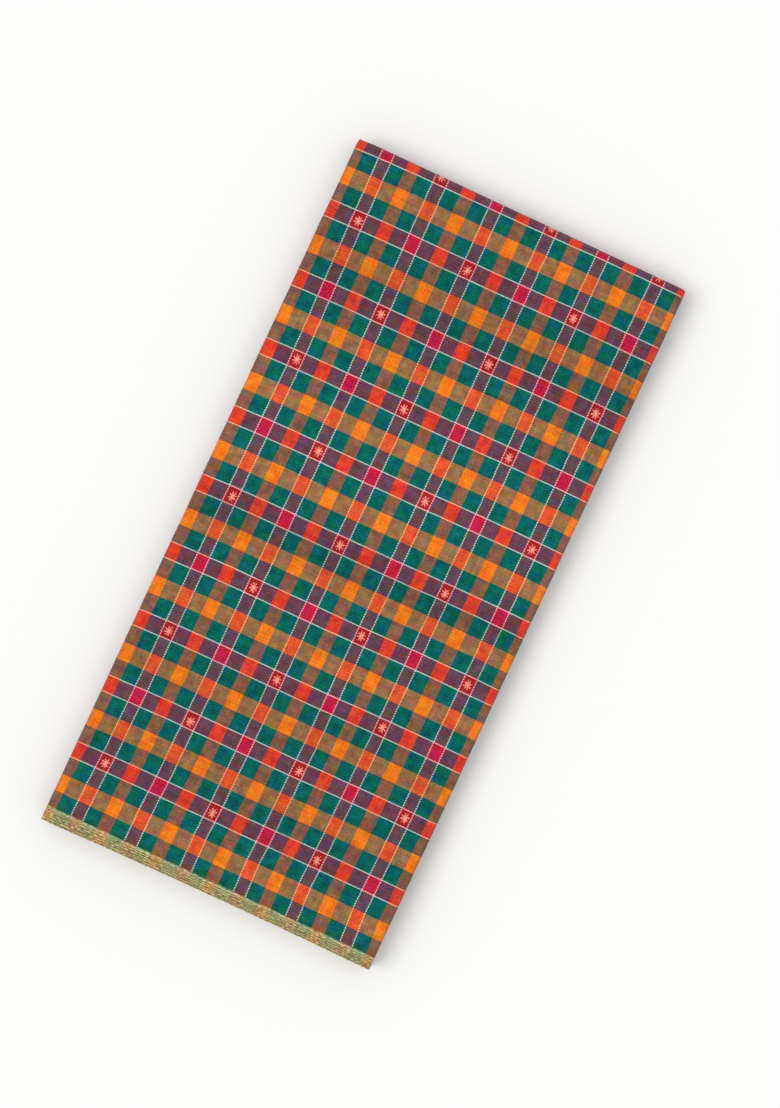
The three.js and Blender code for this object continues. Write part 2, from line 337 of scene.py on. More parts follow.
def settle(places):
    """Moves points of the flat stack to where the cloth has settled."""
    x, y, z = places.T.copy()
    share = z / FLAT_HEIGHT
    across = 1 - ((x - BOW_MIDDLE) / (HALF_LENGTH + BOW_MIDDLE)) ** 2
    near = np.clip(1 - (y + HALF_WIDTH) / BOW_REACH, 0, 1)
    places[:, 1] += BOW * across * near ** 2
    for swell in SWELLS:
        ridge = swell["up"] * MM + swell["lean"] * MM * x / (2 * HALF_LENGTH)
        distance = np.clip(np.abs(y - ridge) / (swell["reach"] * MM), 0, 1)
        places[:, 2] += share * swell["rise"] * MM * (1 + np.cos(np.pi * distance)) / 2
    near = np.clip(1 - (y + HALF_WIDTH) / RIPPLE_REACH, 0, 1)
    for ripple in RIPPLES:
        wave = np.sin(2 * np.pi * x / (ripple["length"] * MM) + ripple["length"] * y / HALF_WIDTH)
        places[:, 2] += share * near ** 2 * ripple["rise"] * MM * wave
    at_edge = np.clip(1 - (HALF_LENGTH - np.abs(x)) / SIDE_REACH, 0, 1)
    places[:, 2] -= share * SIDE_ROLL * at_edge ** 2
    at_left = np.clip(1 - (x + HALF_LENGTH) / DRAWN_REACH, 0, 1)
    near = np.clip(1 - (HALF_WIDTH - y) / DRAWN_DEPTH, 0, 1)
    on_top = np.clip((z - FLAT_HEIGHT) / PITCH + 1, 0, 1)
    places[:, 1] -= DRAWN_DOWN * at_left ** 1.5 * near * on_top
    to_corner = np.clip(FOLD_CORNER - (HALF_WIDTH - y), 0, FOLD_CORNER)
    inset = FOLD_CORNER - np.sqrt(FOLD_CORNER ** 2 - to_corner ** 2)
    at_side = np.clip(1 - (HALF_LENGTH - np.abs(x)) / CORNER_REACH, 0, 1)
    places[:, 0] -= np.sign(x) * inset * at_side
    return places


# Hand weaving and handling leave the check a little uneven. The first table gives, at distances
# down from the centre fold, how far the weft stripes lie to the right at the left and right sides
# of a panel, and how far the warp stripes lie low. The others give, across the panel from its left
# side and along the cloth, how far warp stripes lie low and weft stripes to the right. All in mm.
DOWN_DRIFT = {
    "down": (0, 17, 56, 109, 177, 230, 292, 345, 402, 430, 457, 505, 535, 563),
    "left": (-2.2, -2.1, -1.3, -0.2, 1.6, 1.2, 0.7, 0.7, 0.8, 0.8, 0.5, 0.0, -1.5, -2.4),
    "right": (1.6, 1.6, 1.4, 1.2, 0.9, 0.7, 0.6, 0.3, 0.0, -0.2, -0.6, -1.4, -2.1, -0.1),
    "low": (0.0, -0.5, -1.1, 0.4, 1.4, 1.2, 1.9, 1.5, 1.6, 0.7, -0.1, -0.7, -0.8, -0.9),
}
PANEL_DRIFT = {
    "from_left": (0, 12, 27, 52, 97, 158, 206, 245, 277),
    "low": (0.7, 0.4, 0.0, -0.3, 0.0, 0.3, 0.0, 0.2, 0.8),
}
ALONG_DRIFT = {
    "along": (-30, 22, 32, 67, 77, 113, 123, 158, 168, 202, 211, 247, 257, 310),
    "right": (0.0, -0.2, -0.4, -0.5, -0.2, 0.9, 0.6, 0.8, 0.5, -0.4, -1.2, 0.1, 0.0, 0.0),
}
WARP_SLOPE = 0.0102                 # the warp runs this much off the centre fold's line
LEVEL_FROM, LEVEL_TO = 494, 563     # near the border the warp runs level again, mm down
WEAVE_MAP = "weave"


def weave_places(places, along, across):
    """Where points lie in the weave: mm along the cloth, and mm from the centre fold line."""
    share = (places[:, 0] + HALF_LENGTH) / (2 * HALF_LENGTH)
    down = np.abs(across) / MM
    left, right, low = (
        np.interp(down, DOWN_DRIFT["down"], DOWN_DRIFT[key]) for key in ("left", "right", "low"))
    sloping = np.clip((LEVEL_TO - down) / (LEVEL_TO - LEVEL_FROM), 0, 1)
    wander = np.interp(share * 2 * HALF_LENGTH / MM, PANEL_DRIFT["from_left"], PANEL_DRIFT["low"])
    lying = across / MM + sloping * (WARP_SLOPE * places[:, 0] / MM - wander)
    lying -= np.sign(lying) * low
    along = along / MM - left * (1 - share) - right * share
    return np.stack([along - np.interp(along, ALONG_DRIFT["along"], ALONG_DRIFT["right"]), lying], axis=1)


# The yarns. Crimson, green and orange stripes of warp and of weft cross, and each crossing has a
# colour of its own. Colours are what the eye makes of the two yarns together.
WARP_REPEAT = 57.19                 # mm across the cloth; the centre fold halves a crimson stripe
WARP_STARTS = {"crimson": 0.0, "green": 0.2325, "orange": 0.495, "second green": 0.745}
WARP_FIRST = -WARP_REPEAT * WARP_STARTS["green"] / 2
WEFT_REPEAT = 44.98                 # mm along the cloth
WEFT_FIRST = 22.5                   # first crimson stripe, mm from the top panel's left side
WEFT_STARTS = {"crimson": 0.0, "green": 0.224, "orange": 0.485, "second green": 0.718}

YARNS = {"crimson": "#BB2042", "green": "#05605A", "orange": "#ED7A21"}
CROSSINGS = {                       # rows are warp stripes and columns are weft stripes
    "crimson": {"crimson": "#BB2042", "green": "#5E3E4F", "orange": "#D6382A"},
    "green": {"crimson": "#5A444F", "green": "#05605A", "orange": "#7C5546"},
    "orange": {"crimson": "#DA542D", "green": "#916B49", "orange": "#ED7A1F"},
}
WARP_CORD = {"crimson": "#FFABAB", "green": "#BCCEC4", "orange": "#FFAC84"}
WEFT_CORD = {"crimson": "#FFACAE", "green": "#C2D4CC", "orange": "#FFB880"}
WARP_CORD_WIDTH = 0.80              # mm
WEFT_CORD_WIDTH = 0.92
BEAD_PITCH = 2.0                    # the weft cord shows as beads between the warp ends, mm
BEAD_LOW, BEAD_HIGH = -0.7, 0.3     # where a bead begins and is full, on a wave from -1 to 1
WARP_GAP, WEFT_GAP = 0.7, 0.12      # how much of a cord still shows between its beads
CORD_BLUR = 0.12                    # a cord's sides fade over this share of its width, in and out
CORD_RISE, STAR_RISE = 1.6, 1.2     # how far they stand up, the relief of the weave being 1
WEAVE_PITCH = 0.85                  # an end is 0.42 mm wide; drawn twice as coarse, so it shows
BEAT_ASTRAY = (0.35, 0.3, 0.0)      # hand beating leaves the threads astray by this much each way, mm
BEAT_SIZE = (26, 11)                # in patches of about this size along and across the cloth, mm

STAR_SIZE = (7.0, 8.8)              # along and across the cloth, mm
STAR_RAYS = 8
STAR_NOTCH = 0.33                   # the notches between them come in this far
STAR_STEP = 0.42                    # its outline turns on whole ends, mm
STAR_ASTRAY = 0.7                   # brocaded by hand, it may sit this far from the middle, mm
STAR_LOOSE = 0.9                    # and its threads stray this far, mm
LOOSE_SIZE = 1.3                    # in patches of about this size, mm
HEART_FROM, HEART_FULL = 0.5, 0.1   # its heart begins and is full at these shares of its radius
FLECK_SIZE = (1.6, 1.1)             # of the flecks in its ground, along and across the cloth, mm
FLECK_LEAST, FLECK_MOST = -0.6, 1.4
STAR_COLOUR, STAR_HEART = "#FF8C7C", "#E8A88E"
STAR_GROUND, STAR_FLECK = "#B2202E", "#7E2A1C"


def linear(hex_colour):
    """An sRGB hex colour as linear RGBA."""
    parts = [int(hex_colour[i:i + 2], 16) / 255 for i in (1, 3, 5)]
    return [c / 12.92 if c <= 0.04045 else ((c + 0.055) / 1.055) ** 2.4 for c in parts] + [1.0]


def set_stops(output, stops, interpolation="CONSTANT"):
    """Puts these linear colours at these places on the colour ramp that the output belongs to."""
    ramp = output.node.color_ramp
    ramp.interpolation = interpolation
    for i, (stop, colour) in enumerate(stops):
        element = ramp.elements[i] if i < 2 else ramp.elements.new(stop)
        element.position = stop
        element.color = colour


def stripe_stops(starts, colours):
    """Where each stripe starts in the repeat, with its colour."""
    return [(start, linear(colours[name.removeprefix("second ")])) for name, start in starts.items()]


def weave_position(tree):
    """Along and across the weave in mm, with the small wander that hand beating leaves."""
    uv = add(tree, "ShaderNodeUVMap", uv_map=WEAVE_MAP)
    scale = (1 / BEAT_SIZE[0], 1 / BEAT_SIZE[1], 1.0)
    spot = add(tree, "ShaderNodeMapping", {"Vector": uv, "Scale": scale})
    noise = add(tree, "ShaderNodeTexNoise", {"Vector": spot, "Scale": 1.0, "Detail": 2.0},
                "Color", noise_dimensions="2D")
    wander = add(tree, "ShaderNodeVectorMath", {0: noise, 1: [2 * part for part in BEAT_ASTRAY],
                                                2: [-part for part in BEAT_ASTRAY]}, operation="MULTIPLY_ADD")
    spot = add(tree, "ShaderNodeVectorMath", {0: uv, 1: wander}, operation="ADD")
    along = add(tree, "ShaderNodeSeparateXYZ", {"Vector": spot})
    return uv, along, along.node.outputs["Y"]


def stripes(tree, position, first, repeat, crimson):
    """Which stripe a position lies in, its share of the repeat, and mm from the crimson's middle."""
    repeats = add(tree, "ShaderNodeMath", {0: position, 1: first}, operation="SUBTRACT")
    repeats = add(tree, "ShaderNodeMath", {0: repeats, 1: repeat}, operation="DIVIDE")
    number = add(tree, "ShaderNodeMath", {0: repeats}, operation="FLOOR")
    share = add(tree, "ShaderNodeMath", {0: repeats}, operation="FRACT")
    off = add(tree, "ShaderNodeMath", {0: position, 1: first + crimson * repeat / 2}, operation="SUBTRACT")
    off = add(tree, "ShaderNodeMath", {0: off, 1: repeat / 2, 2: -repeat / 2}, operation="WRAP")
    return number, share, off


def cord_beside(tree, off, half, width):
    """1 on the cords that lie along both edges of a crimson stripe, fading out at their sides."""
    near = add(tree, "ShaderNodeMath", {0: off}, operation="ABSOLUTE")
    near = add(tree, "ShaderNodeMath", {0: near, 1: half}, operation="SUBTRACT")
    near = add(tree, "ShaderNodeMath", {0: near}, operation="ABSOLUTE")
    return add(tree, "ShaderNodeMapRange", {"Value": near, "From Min": width * (0.5 + CORD_BLUR),
                                            "From Max": width * (0.5 - CORD_BLUR)})


def beads(tree, position, gap):
    """A row of beads along a cord: 1 on each bead, and this much between them."""
    turn = add(tree, "ShaderNodeMath", {0: position, 1: 2 * math.pi / BEAD_PITCH}, operation="MULTIPLY")
    wave = add(tree, "ShaderNodeMath", {0: turn}, operation="SINE")
    return add(tree, "ShaderNodeMapRange", {"Value": wave, "From Min": BEAD_LOW, "From Max": BEAD_HIGH,
                                            "To Min": gap})


def plain_weave(tree, along, across):
    """Ends over and under picks, from -1 where the weft is on top to 1 where the warp is."""
    waves = []
    for position in (along, across):
        turn = add(tree, "ShaderNodeMath", {0: position, 1: math.pi / WEAVE_PITCH}, operation="MULTIPLY")
        waves.append(add(tree, "ShaderNodeMath", {0: turn}, operation="SINE"))
    return add(tree, "ShaderNodeMath", {0: waves[0], 1: waves[1]}, operation="MULTIPLY")


NOISE_LOW, NOISE_HIGH = 0.25, 0.75  # most values of the noise lie between these


def uneven(tree, uv, size, detail, least, most):
    """Noise in patches of this size along and across the cloth, in mm, between these two values."""
    spot = add(tree, "ShaderNodeMapping", {"Vector": uv, "Scale": (1 / size[0], 1 / size[1], 1.0)})
    noise = add(tree, "ShaderNodeTexNoise", {"Vector": spot, "Scale": 1.0, "Detail": detail},
                noise_dimensions="2D")
    return add(tree, "ShaderNodeMapRange", {"Value": noise, "From Min": NOISE_LOW, "From Max": NOISE_HIGH,
                                            "To Min": least, "To Max": most})


WEAVE_RELIEF = 0.12 * MM            # the height of the threads
RELIEF_SHOWS = 0.35                 # and how strongly it shows


def woven_surface(tree, colour, height, **finish):
    """The shader of a woven cloth, with its threads as bump."""
    bump = add(tree, "ShaderNodeBump", {"Height": height, "Strength": RELIEF_SHOWS,
                                        "Distance": WEAVE_RELIEF})
    sockets = {"Base Color": colour, "Normal": bump}
    sockets.update({name.replace("_", " "): value for name, value in finish.items()})
    surface = add(tree, "ShaderNodeBsdfPrincipled", sockets)
    tree.links.new(surface, tree.nodes.new("ShaderNodeOutputMaterial").inputs["Surface"])


def new_material(name):
    """A material with this name, and its empty node tree."""
    material = bpy.data.materials.new(name)
    material.use_nodes = True
    material.node_tree.nodes.clear()
    return material, material.node_tree


# How light the cloth looks, in bands from the centre fold down, 0.5 being even
DOWN_TONES = {0.0: 0.53, 0.09: 0.5, 0.155: 0.37, 0.22: 0.51, 0.33: 0.6, 0.42: 0.61, 0.48: 0.54, 0.52: 0.37,
             0.57: 0.53, 0.68: 0.52, 0.75: 0.41, 0.79: 0.52, 0.85: 0.43, 0.9: 0.48, 0.95: 0.54}
TONES_DARK, TONES_LIGHT = 0.6, 1.4
LINT = 0.012                        # how much lighter or darker lint makes the cloth, in linear light
LINT_SIZE = 1.2                     # in patches of about this size, mm
YARN_STREAKS = [                    # thick and thin places in warp, weft and single threads, in mm
    {"along": 40, "across": 0.9, "varies": 0.14},
    {"along": 0.9, "across": 40, "varies": 0.12},
    {"along": 1.8, "across": 1.2, "varies": 0.18},
]
YARN_SHOWS = 0.15                   # how much of the single yarns' own colours shows in a crossing
PATCH = 5.5                         # in patches of about this size one yarn shows more, mm
PATCH_SHOWS = 1.3                   # by this much, where -1 is the weft on top and 1 the warp
OVER_BLUR = 0.7                     # one yarn's colour passes into the other's from minus this to this
FOLD_SHADE = 0.42                         # painted shade: how far the folds are darkened towards grey
FOLD_SHADE_SIDE, FOLD_SHADE_FAR = 3.4 * MM, 2.6 * MM    # and how far in from the sides and the far end that is felt
FOLD_SHADE_COLOUR = "#5E6060"
DYE_PATCH = 6.5                     # the dye took unevenly, in patches of about this size, mm
DYE_UNEVEN = (0.28, 0.45, 0.70)     # in red, green and blue
STRIP_FROM, STRIP_TO = 558.0, 561.8 # a few crimson ends run beside the border, mm from the fold
STRIP_OVER = {"crimson": "#6C423F", "green": "#155B4B", "orange": "#8C5638"}


def cotton_check():
    """Plain handloom cotton of fine mercerised yarn: an even, dry surface with hardly any gloss."""
    material, tree = new_material("handloom_cotton_check")
    uv, along, across = weave_position(tree)

    # From the centre fold the warp repeats towards both selvedges alike
    down = add(tree, "ShaderNodeMath", {0: across}, operation="ABSOLUTE")
    warp_crimson, weft_crimson = WARP_STARTS["green"], WEFT_STARTS["green"]
    warp_number, warp_share, warp_off = stripes(tree, down, WARP_FIRST, WARP_REPEAT, warp_crimson)
    weft_number, weft_share, weft_off = stripes(tree, along, WEFT_FIRST, WEFT_REPEAT, weft_crimson)

    # The nine crossings
    by_weft = {}
    for name, colours in CROSSINGS.items():
        by_weft[name] = add(tree, "ShaderNodeValToRGB", {"Fac": weft_share})
        set_stops(by_weft[name], stripe_stops(WEFT_STARTS, colours))
    orange_from, orange_to = WARP_STARTS["orange"], WARP_STARTS["second green"]
    in_orange = add(tree, "ShaderNodeMath", {0: warp_share, 1: (orange_from + orange_to) / 2,
                                             2: (orange_to - orange_from) / 2}, operation="COMPARE")
    in_crimson = add(tree, "ShaderNodeMath", {0: warp_share, 1: warp_crimson}, operation="LESS_THAN")
    colour = add(tree, "ShaderNodeMix", {"Factor_Float": in_orange, "A_Color": by_weft["green"],
                                         "B_Color": by_weft["orange"]}, "Result_Color", data_type="RGBA")
    colour = add(tree, "ShaderNodeMix", {"Factor_Float": in_crimson, "A_Color": colour,
                                         "B_Color": by_weft["crimson"]}, "Result_Color", data_type="RGBA")

    # Single yarns, as they pass over and under each other, more of one or of the other in patches
    over = plain_weave(tree, along, across)
    warp_yarn = add(tree, "ShaderNodeValToRGB", {"Fac": warp_share})
    set_stops(warp_yarn, stripe_stops(WARP_STARTS, YARNS))
    weft_yarn = add(tree, "ShaderNodeValToRGB", {"Fac": weft_share})
    set_stops(weft_yarn, stripe_stops(WEFT_STARTS, YARNS))
    patch = uneven(tree, uv, (PATCH, PATCH), 1.5, -PATCH_SHOWS, PATCH_SHOWS)
    tighter = add(tree, "ShaderNodeMath", {0: over, 1: patch}, operation="ADD")
    warp_up = add(tree, "ShaderNodeMapRange", {"Value": tighter, "From Min": -OVER_BLUR,
                                               "From Max": OVER_BLUR})
    upper = add(tree, "ShaderNodeMix", {"Factor_Float": warp_up, "A_Color": weft_yarn,
                                        "B_Color": warp_yarn}, "Result_Color", data_type="RGBA")
    colour = add(tree, "ShaderNodeMix", {"Factor_Float": YARN_SHOWS, "A_Color": colour,
                                         "B_Color": upper}, "Result_Color", data_type="RGBA")

    # Crimson ends beside the border, which the green weft all but covers
    strip = add(tree, "ShaderNodeMapRange", {"Value": down, "From Min": STRIP_FROM, "From Max": STRIP_TO})
    strip_colour = add(tree, "ShaderNodeValToRGB", {"Fac": weft_share})
    set_stops(strip_colour, stripe_stops(WEFT_STARTS, STRIP_OVER))
    colour = add(tree, "ShaderNodeMix", {"Factor_Float": strip, "A_Color": colour,
                                         "B_Color": strip_colour}, "Result_Color", data_type="RGBA")

    # Uneven dye
    spot = add(tree, "ShaderNodeMapping", {"Vector": uv, "Scale": (1 / DYE_PATCH, 1 / DYE_PATCH, 1.0)})
    tint = add(tree, "ShaderNodeTexNoise", {"Vector": spot, "Scale": 1.0, "Detail": 0.5}, "Color",
               noise_dimensions="2D")
    tint = add(tree, "ShaderNodeVectorMath", {0: tint, 1: [2 * part for part in DYE_UNEVEN],
                                              2: [1 - part for part in DYE_UNEVEN]}, operation="MULTIPLY_ADD")
    colour = add(tree, "ShaderNodeVectorMath", {0: colour, 1: tint}, operation="MULTIPLY")

    # The star, brocaded on a ground of denser red, on every other crimson crossing
    total = add(tree, "ShaderNodeMath", {0: warp_number, 1: weft_number}, operation="ADD")
    odd = add(tree, "ShaderNodeMath", {0: total, 1: 1.0}, operation="PINGPONG")
    in_cell = add(tree, "ShaderNodeMath", {0: weft_share, 1: weft_crimson}, operation="LESS_THAN")
    in_cell = add(tree, "ShaderNodeMath", {0: in_cell, 1: in_crimson}, operation="MULTIPLY")
    in_cell = add(tree, "ShaderNodeMath", {0: in_cell, 1: odd}, operation="MULTIPLY")
    cell = add(tree, "ShaderNodeCombineXYZ", {"X": weft_number, "Y": warp_number})
    astray = add(tree, "ShaderNodeTexWhiteNoise", {"Vector": cell}, "Color", noise_dimensions="2D")
    astray = add(tree, "ShaderNodeVectorMath", {0: astray, 1: (2 * STAR_ASTRAY,) * 3,
                                                2: (-STAR_ASTRAY,) * 3}, operation="MULTIPLY_ADD")
    spot = add(tree, "ShaderNodeCombineXYZ", {"X": weft_off, "Y": warp_off})
    spot = add(tree, "ShaderNodeVectorMath", {0: spot, 1: astray}, operation="ADD")
    loose = add(tree, "ShaderNodeMapping", {"Vector": uv, "Scale": (1 / LOOSE_SIZE, 1 / LOOSE_SIZE, 1.0)})
    loose = add(tree, "ShaderNodeTexNoise", {"Vector": loose, "Scale": 1.0}, "Color", noise_dimensions="2D")
    loose = add(tree, "ShaderNodeVectorMath", {0: loose, 1: (2 * STAR_LOOSE,) * 3,
                                               2: (-STAR_LOOSE,) * 3}, operation="MULTIPLY_ADD")
    spot = add(tree, "ShaderNodeVectorMath", {0: spot, 1: loose}, operation="ADD")
    spot = add(tree, "ShaderNodeVectorMath", {0: spot, 1: (STAR_STEP,) * 3}, operation="SNAP")
    spot = add(tree, "ShaderNodeVectorMath", {0: spot, 1: (2 / STAR_SIZE[0], 2 / STAR_SIZE[1], 0)},
               operation="MULTIPLY")
    radius = add(tree, "ShaderNodeVectorMath", {0: spot}, "Value", operation="LENGTH")
    spot_x = add(tree, "ShaderNodeSeparateXYZ", {"Vector": spot})
    angle = add(tree, "ShaderNodeMath", {0: spot_x.node.outputs["Y"], 1: spot_x}, operation="ARCTAN2")
    half_ray = math.pi / STAR_RAYS
    ray = add(tree, "ShaderNodeMath", {0: angle, 1: half_ray}, operation="PINGPONG")
    reach = add(tree, "ShaderNodeMapRange", {"Value": ray, "From Max": half_ray, "To Min": STAR_NOTCH})
    star = add(tree, "ShaderNodeMath", {0: radius, 1: reach}, operation="LESS_THAN")
    star = add(tree, "ShaderNodeMath", {0: star, 1: in_cell}, operation="MULTIPLY")
    flecks = uneven(tree, uv, FLECK_SIZE, 3.0, FLECK_LEAST, FLECK_MOST)
    ground = add(tree, "ShaderNodeMix", {"Factor_Float": flecks, "A_Color": linear(STAR_GROUND),
                                         "B_Color": linear(STAR_FLECK)}, "Result_Color", data_type="RGBA")
    heart = add(tree, "ShaderNodeMapRange", {"Value": radius, "From Min": HEART_FROM,
                                             "From Max": HEART_FULL})
    thread = add(tree, "ShaderNodeMix", {"Factor_Float": heart, "A_Color": linear(STAR_COLOUR),
                                         "B_Color": linear(STAR_HEART)}, "Result_Color", data_type="RGBA")
    colour = add(tree, "ShaderNodeMix", {"Factor_Float": in_cell, "A_Color": colour,
                                         "B_Color": ground}, "Result_Color", data_type="RGBA")
    colour = add(tree, "ShaderNodeMix", {"Factor_Float": star, "A_Color": colour,
                                         "B_Color": thread}, "Result_Color", data_type="RGBA")

    # The cords: even ones in the warp, and ones in the weft that show as beads
    cords = []
    for off, half, width, share, starts, colours, bead_place, gap in (
        (warp_off, warp_crimson * WARP_REPEAT / 2, WARP_CORD_WIDTH, weft_share, WEFT_STARTS, WARP_CORD,
         along, WARP_GAP),
        (weft_off, weft_crimson * WEFT_REPEAT / 2, WEFT_CORD_WIDTH, warp_share, WARP_STARTS, WEFT_CORD,
         across, WEFT_GAP),
    ):
        cord = add(tree, "ShaderNodeMath", {0: cord_beside(tree, off, half, width),
                                            1: beads(tree, bead_place, gap)}, operation="MULTIPLY")
        cord_colour = add(tree, "ShaderNodeValToRGB", {"Fac": share})
        set_stops(cord_colour, stripe_stops(starts, colours))
        colour = add(tree, "ShaderNodeMix", {"Factor_Float": cord, "A_Color": colour,
                                             "B_Color": cord_colour}, "Result_Color", data_type="RGBA")
        cords.append(cord)

    # Painted shade: the folds along the sides and the far end of the stack are darkened towards grey
    place = add(tree, "ShaderNodeSeparateXYZ", {"Vector": add(tree, "ShaderNodeTexCoord", output="Object")})
    to_side = add(tree, "ShaderNodeMath", {0: place}, operation="ABSOLUTE")
    fold_shade = []
    for position, edge, reach in (
        (to_side, HALF_LENGTH, FOLD_SHADE_SIDE),
        (place.node.outputs["Y"], HALF_WIDTH, FOLD_SHADE_FAR),
    ):
        fold_shade.append(add(tree, "ShaderNodeMapRange", {"Value": position, "From Min": edge - reach,
                                                     "From Max": edge, "To Max": FOLD_SHADE}))
    fold_shade = add(tree, "ShaderNodeMath", {0: fold_shade[0], 1: fold_shade[1]}, operation="MAXIMUM")
    colour = add(tree, "ShaderNodeMix", {"Factor_Float": fold_shade, "A_Color": colour,
                                         "B_Color": linear(FOLD_SHADE_COLOUR)}, "Result_Color", data_type="RGBA")

    # Lighter and darker bands from the centre fold down, uneven yarn, and the fine lint on it, which shows on
    # dark yarn
    tone = add(tree, "ShaderNodeMath", {0: down, 1: SELVEDGE / MM}, operation="DIVIDE")
    tone = add(tree, "ShaderNodeValToRGB", {"Fac": tone})
    set_stops(tone, [(stop, (level, level, level, 1.0)) for stop, level in DOWN_TONES.items()], "EASE")
    tone = add(tree, "ShaderNodeMapRange", {"Value": tone, "To Min": TONES_DARK, "To Max": TONES_LIGHT})
    for streak in YARN_STREAKS:
        size = (streak["along"], streak["across"])
        streaks = uneven(tree, uv, size, 2.0, 1 - streak["varies"], 1 + streak["varies"])
        tone = add(tree, "ShaderNodeMath", {0: tone, 1: streaks}, operation="MULTIPLY")
    lint = uneven(tree, uv, (LINT_SIZE, LINT_SIZE), 1.0, -LINT, LINT)
    colour = add(tree, "ShaderNodeVectorMath", {0: colour, 1: tone, 2: lint}, operation="MULTIPLY_ADD")
    colour = add(tree, "ShaderNodeVectorMath", {0: colour, 1: (0.0, 0.0, 0.0)}, operation="MAXIMUM")

    height = over
    for raised, rise in ((cords[0], CORD_RISE), (cords[1], CORD_RISE), (star, STAR_RISE)):
        height = add(tree, "ShaderNodeMath", {0: raised, 1: rise, 2: height}, operation="MULTIPLY_ADD")
    woven_surface(tree, colour, height, Roughness=0.82, Specular_IOR_Level=0.03, Sheen_Weight=0.02,
                  Sheen_Roughness=0.4)
    return material


BAND_MIDDLE = {"crimson": "#A27C54", "green": "#7F8A58", "orange": "#B27E46"}
BAND_RIM = {"crimson": "#CC9878", "green": "#8CB68C", "orange": "#D09C6A"}
RIM_FROM, RIM_TO = 1.8, 4.8         # the band is paler along its upper rim and fades over this, mm
ZARI_GLINT_AND_SHADE = [                            # the gold thread's colour with a painted glint, and painted shade between the threads
    {"colour": "#DCC48E", "from": 0.1, "full": 1.7},
    {"colour": "#6E6238", "from": -0.1, "full": -1.6},
]
ZARI_PITCH = 2.0                    # threads lie 0.5 mm apart; drawn four times as coarse, mm
ZARI_LINES, ZARI_BREAKS = 0.8, 1.8  # how strong the gold lines are, and the breaks in them
ZARI_RISE = 0.5                     # how far the gold stands up, the relief of the weave being 1
RAGGED = 4.0                        # the gold blurs the weft stripes' edges by this much, mm
BAND_TONE, BAND_HUE = 0.34, 0.06    # how much the band is lighter and darker, warmer and greener
BREAK_SIZE, RAGGED_SIZE = (2.6, 0.8), (2.4, 0.7)    # in patches of about these sizes, mm
TONE_SIZE, HUE_SIZE = (14, 1.0), (3.4, 1.6)


def zari_band():
    """Cotton with fine gold thread in the warp: soft gold lines with a dull metal gleam."""
    material, tree = new_material("zari_band")
    uv, along, across = weave_position(tree)
    ragged = uneven(tree, uv, RAGGED_SIZE, 3.0, -RAGGED, RAGGED)
    ragged = add(tree, "ShaderNodeMath", {0: along, 1: ragged}, operation="ADD")
    weft_share = stripes(tree, ragged, WEFT_FIRST, WEFT_REPEAT, WEFT_STARTS["green"])[1]
    down = add(tree, "ShaderNodeMath", {0: across}, operation="ABSOLUTE")
    in_band = add(tree, "ShaderNodeMath", {0: down, 1: BORDER_LINE / MM}, operation="SUBTRACT")
    tones = []
    for colours in (BAND_RIM, BAND_MIDDLE):
        tones.append(add(tree, "ShaderNodeValToRGB", {"Fac": weft_share}))
        set_stops(tones[-1], stripe_stops(WEFT_STARTS, colours))
    below_rim = add(tree, "ShaderNodeMapRange", {"Value": in_band, "From Min": RIM_FROM,
                                                 "From Max": RIM_TO})
    colour = add(tree, "ShaderNodeMix", {"Factor_Float": below_rim, "A_Color": tones[0],
                                         "B_Color": tones[1]}, "Result_Color", data_type="RGBA")

    # Gold threads run along the band, with a painted glint where they lie over the weft and painted shade
    # beside it
    thread = add(tree, "ShaderNodeMath", {0: in_band, 1: 2 * math.pi / ZARI_PITCH}, operation="MULTIPLY")
    thread = add(tree, "ShaderNodeMath", {0: thread}, operation="SINE")
    broken = uneven(tree, uv, BREAK_SIZE, 3.0, -ZARI_BREAKS, ZARI_BREAKS)
    shine = add(tree, "ShaderNodeMath", {0: thread, 1: ZARI_LINES, 2: broken}, operation="MULTIPLY_ADD")
    for part in ZARI_GLINT_AND_SHADE:
        amount = add(tree, "ShaderNodeMapRange", {"Value": shine, "From Min": part["from"],
                                                  "From Max": part["full"]})
        part_colour = linear(part["colour"])
        colour = add(tree, "ShaderNodeMix", {"Factor_Float": amount, "A_Color": colour,
                                             "B_Color": part_colour}, "Result_Color", data_type="RGBA")
    tone = uneven(tree, uv, TONE_SIZE, 2.0, 1 - BAND_TONE, 1 + BAND_TONE)
    hue = uneven(tree, uv, HUE_SIZE, 3.0, 0.5 - BAND_HUE, 0.5 + BAND_HUE)
    colour = add(tree, "ShaderNodeHueSaturation", {"Color": colour, "Value": tone, "Hue": hue})
    height = add(tree, "ShaderNodeMath", {0: shine, 1: ZARI_RISE, 2: plain_weave(tree, along, across)},
                 operation="MULTIPLY_ADD")
    woven_surface(tree, colour, height, Roughness=0.5, Metallic=0.25, Specular_IOR_Level=0.2)
    return material


CLOTHS = {"Cloth": cotton_check(), "Border": zari_band()}
SWEEP = sweep_tree()
SHARP = math.radians(50)            # the cut edges of the cloth turn by more than this
BAKE_MAP = "OFBake"                 # the map to bake colours on goes by this name
INNER_LEAF = 0.2                    # share of the map for the leaf that is turned inwards
ROW_GAP = 0.01                      # share of a row's width left free along both of its edges


